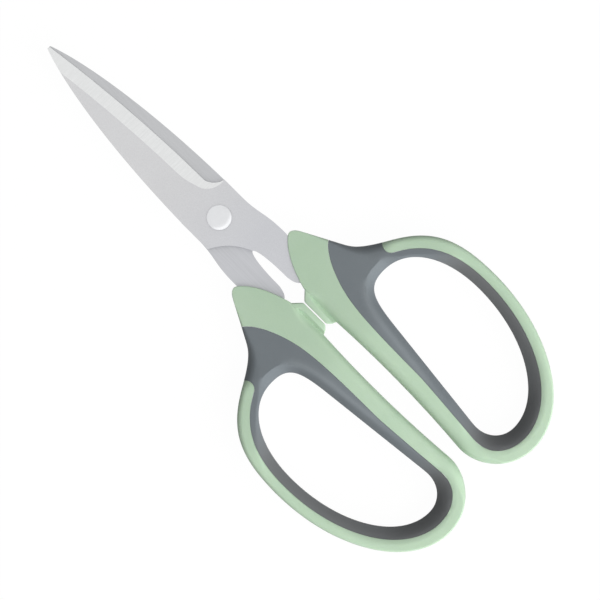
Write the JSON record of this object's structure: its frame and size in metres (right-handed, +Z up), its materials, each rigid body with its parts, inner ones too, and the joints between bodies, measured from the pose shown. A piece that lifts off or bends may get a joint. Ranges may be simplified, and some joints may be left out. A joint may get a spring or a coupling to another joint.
{
  "type": "household scissors",
  "caption": "Closed household scissors: pointed steel blades with a ground bevel, turning on a domed rivet, with pale green loop handles lined by soft grey grips.",
  "frame": {"origin": "middle of the scissors' box, on the surface that they lie on", "axes": "+X towards the tips, +Z up through the rivet's domed head, +Y towards the handle of the rear blade"},
  "size_m": [0.1896, 0.0942, 0.012],
  "materials": {
    "blade_steel": "satin, with a ground bevel",
    "rivet_steel": "polished",
    "green_plastic": "satin moulded, pale green",
    "grey_rubber": "matte soft-touch, blue grey"
  },
  "bodies": {
    "rear_half": {"rear_blade": "blade_steel", "left_handle_shell": "green_plastic", "left_handle_grip": "grey_rubber", "pivot_rivet": "rivet_steel", "tension_washer": "rivet_steel"},
    "front_half": {"front_blade": "blade_steel", "right_handle_shell": "green_plastic", "right_handle_grip": "grey_rubber"}
  },
  "joints": [
    {"name": "blade_pivot", "type": "hinge", "parent": "rear_half", "child": "front_half", "pos_m": [0.02175, 0, 0.006], "axis": [0, 0, 1], "range_deg": [0, 115]}
  ]
}
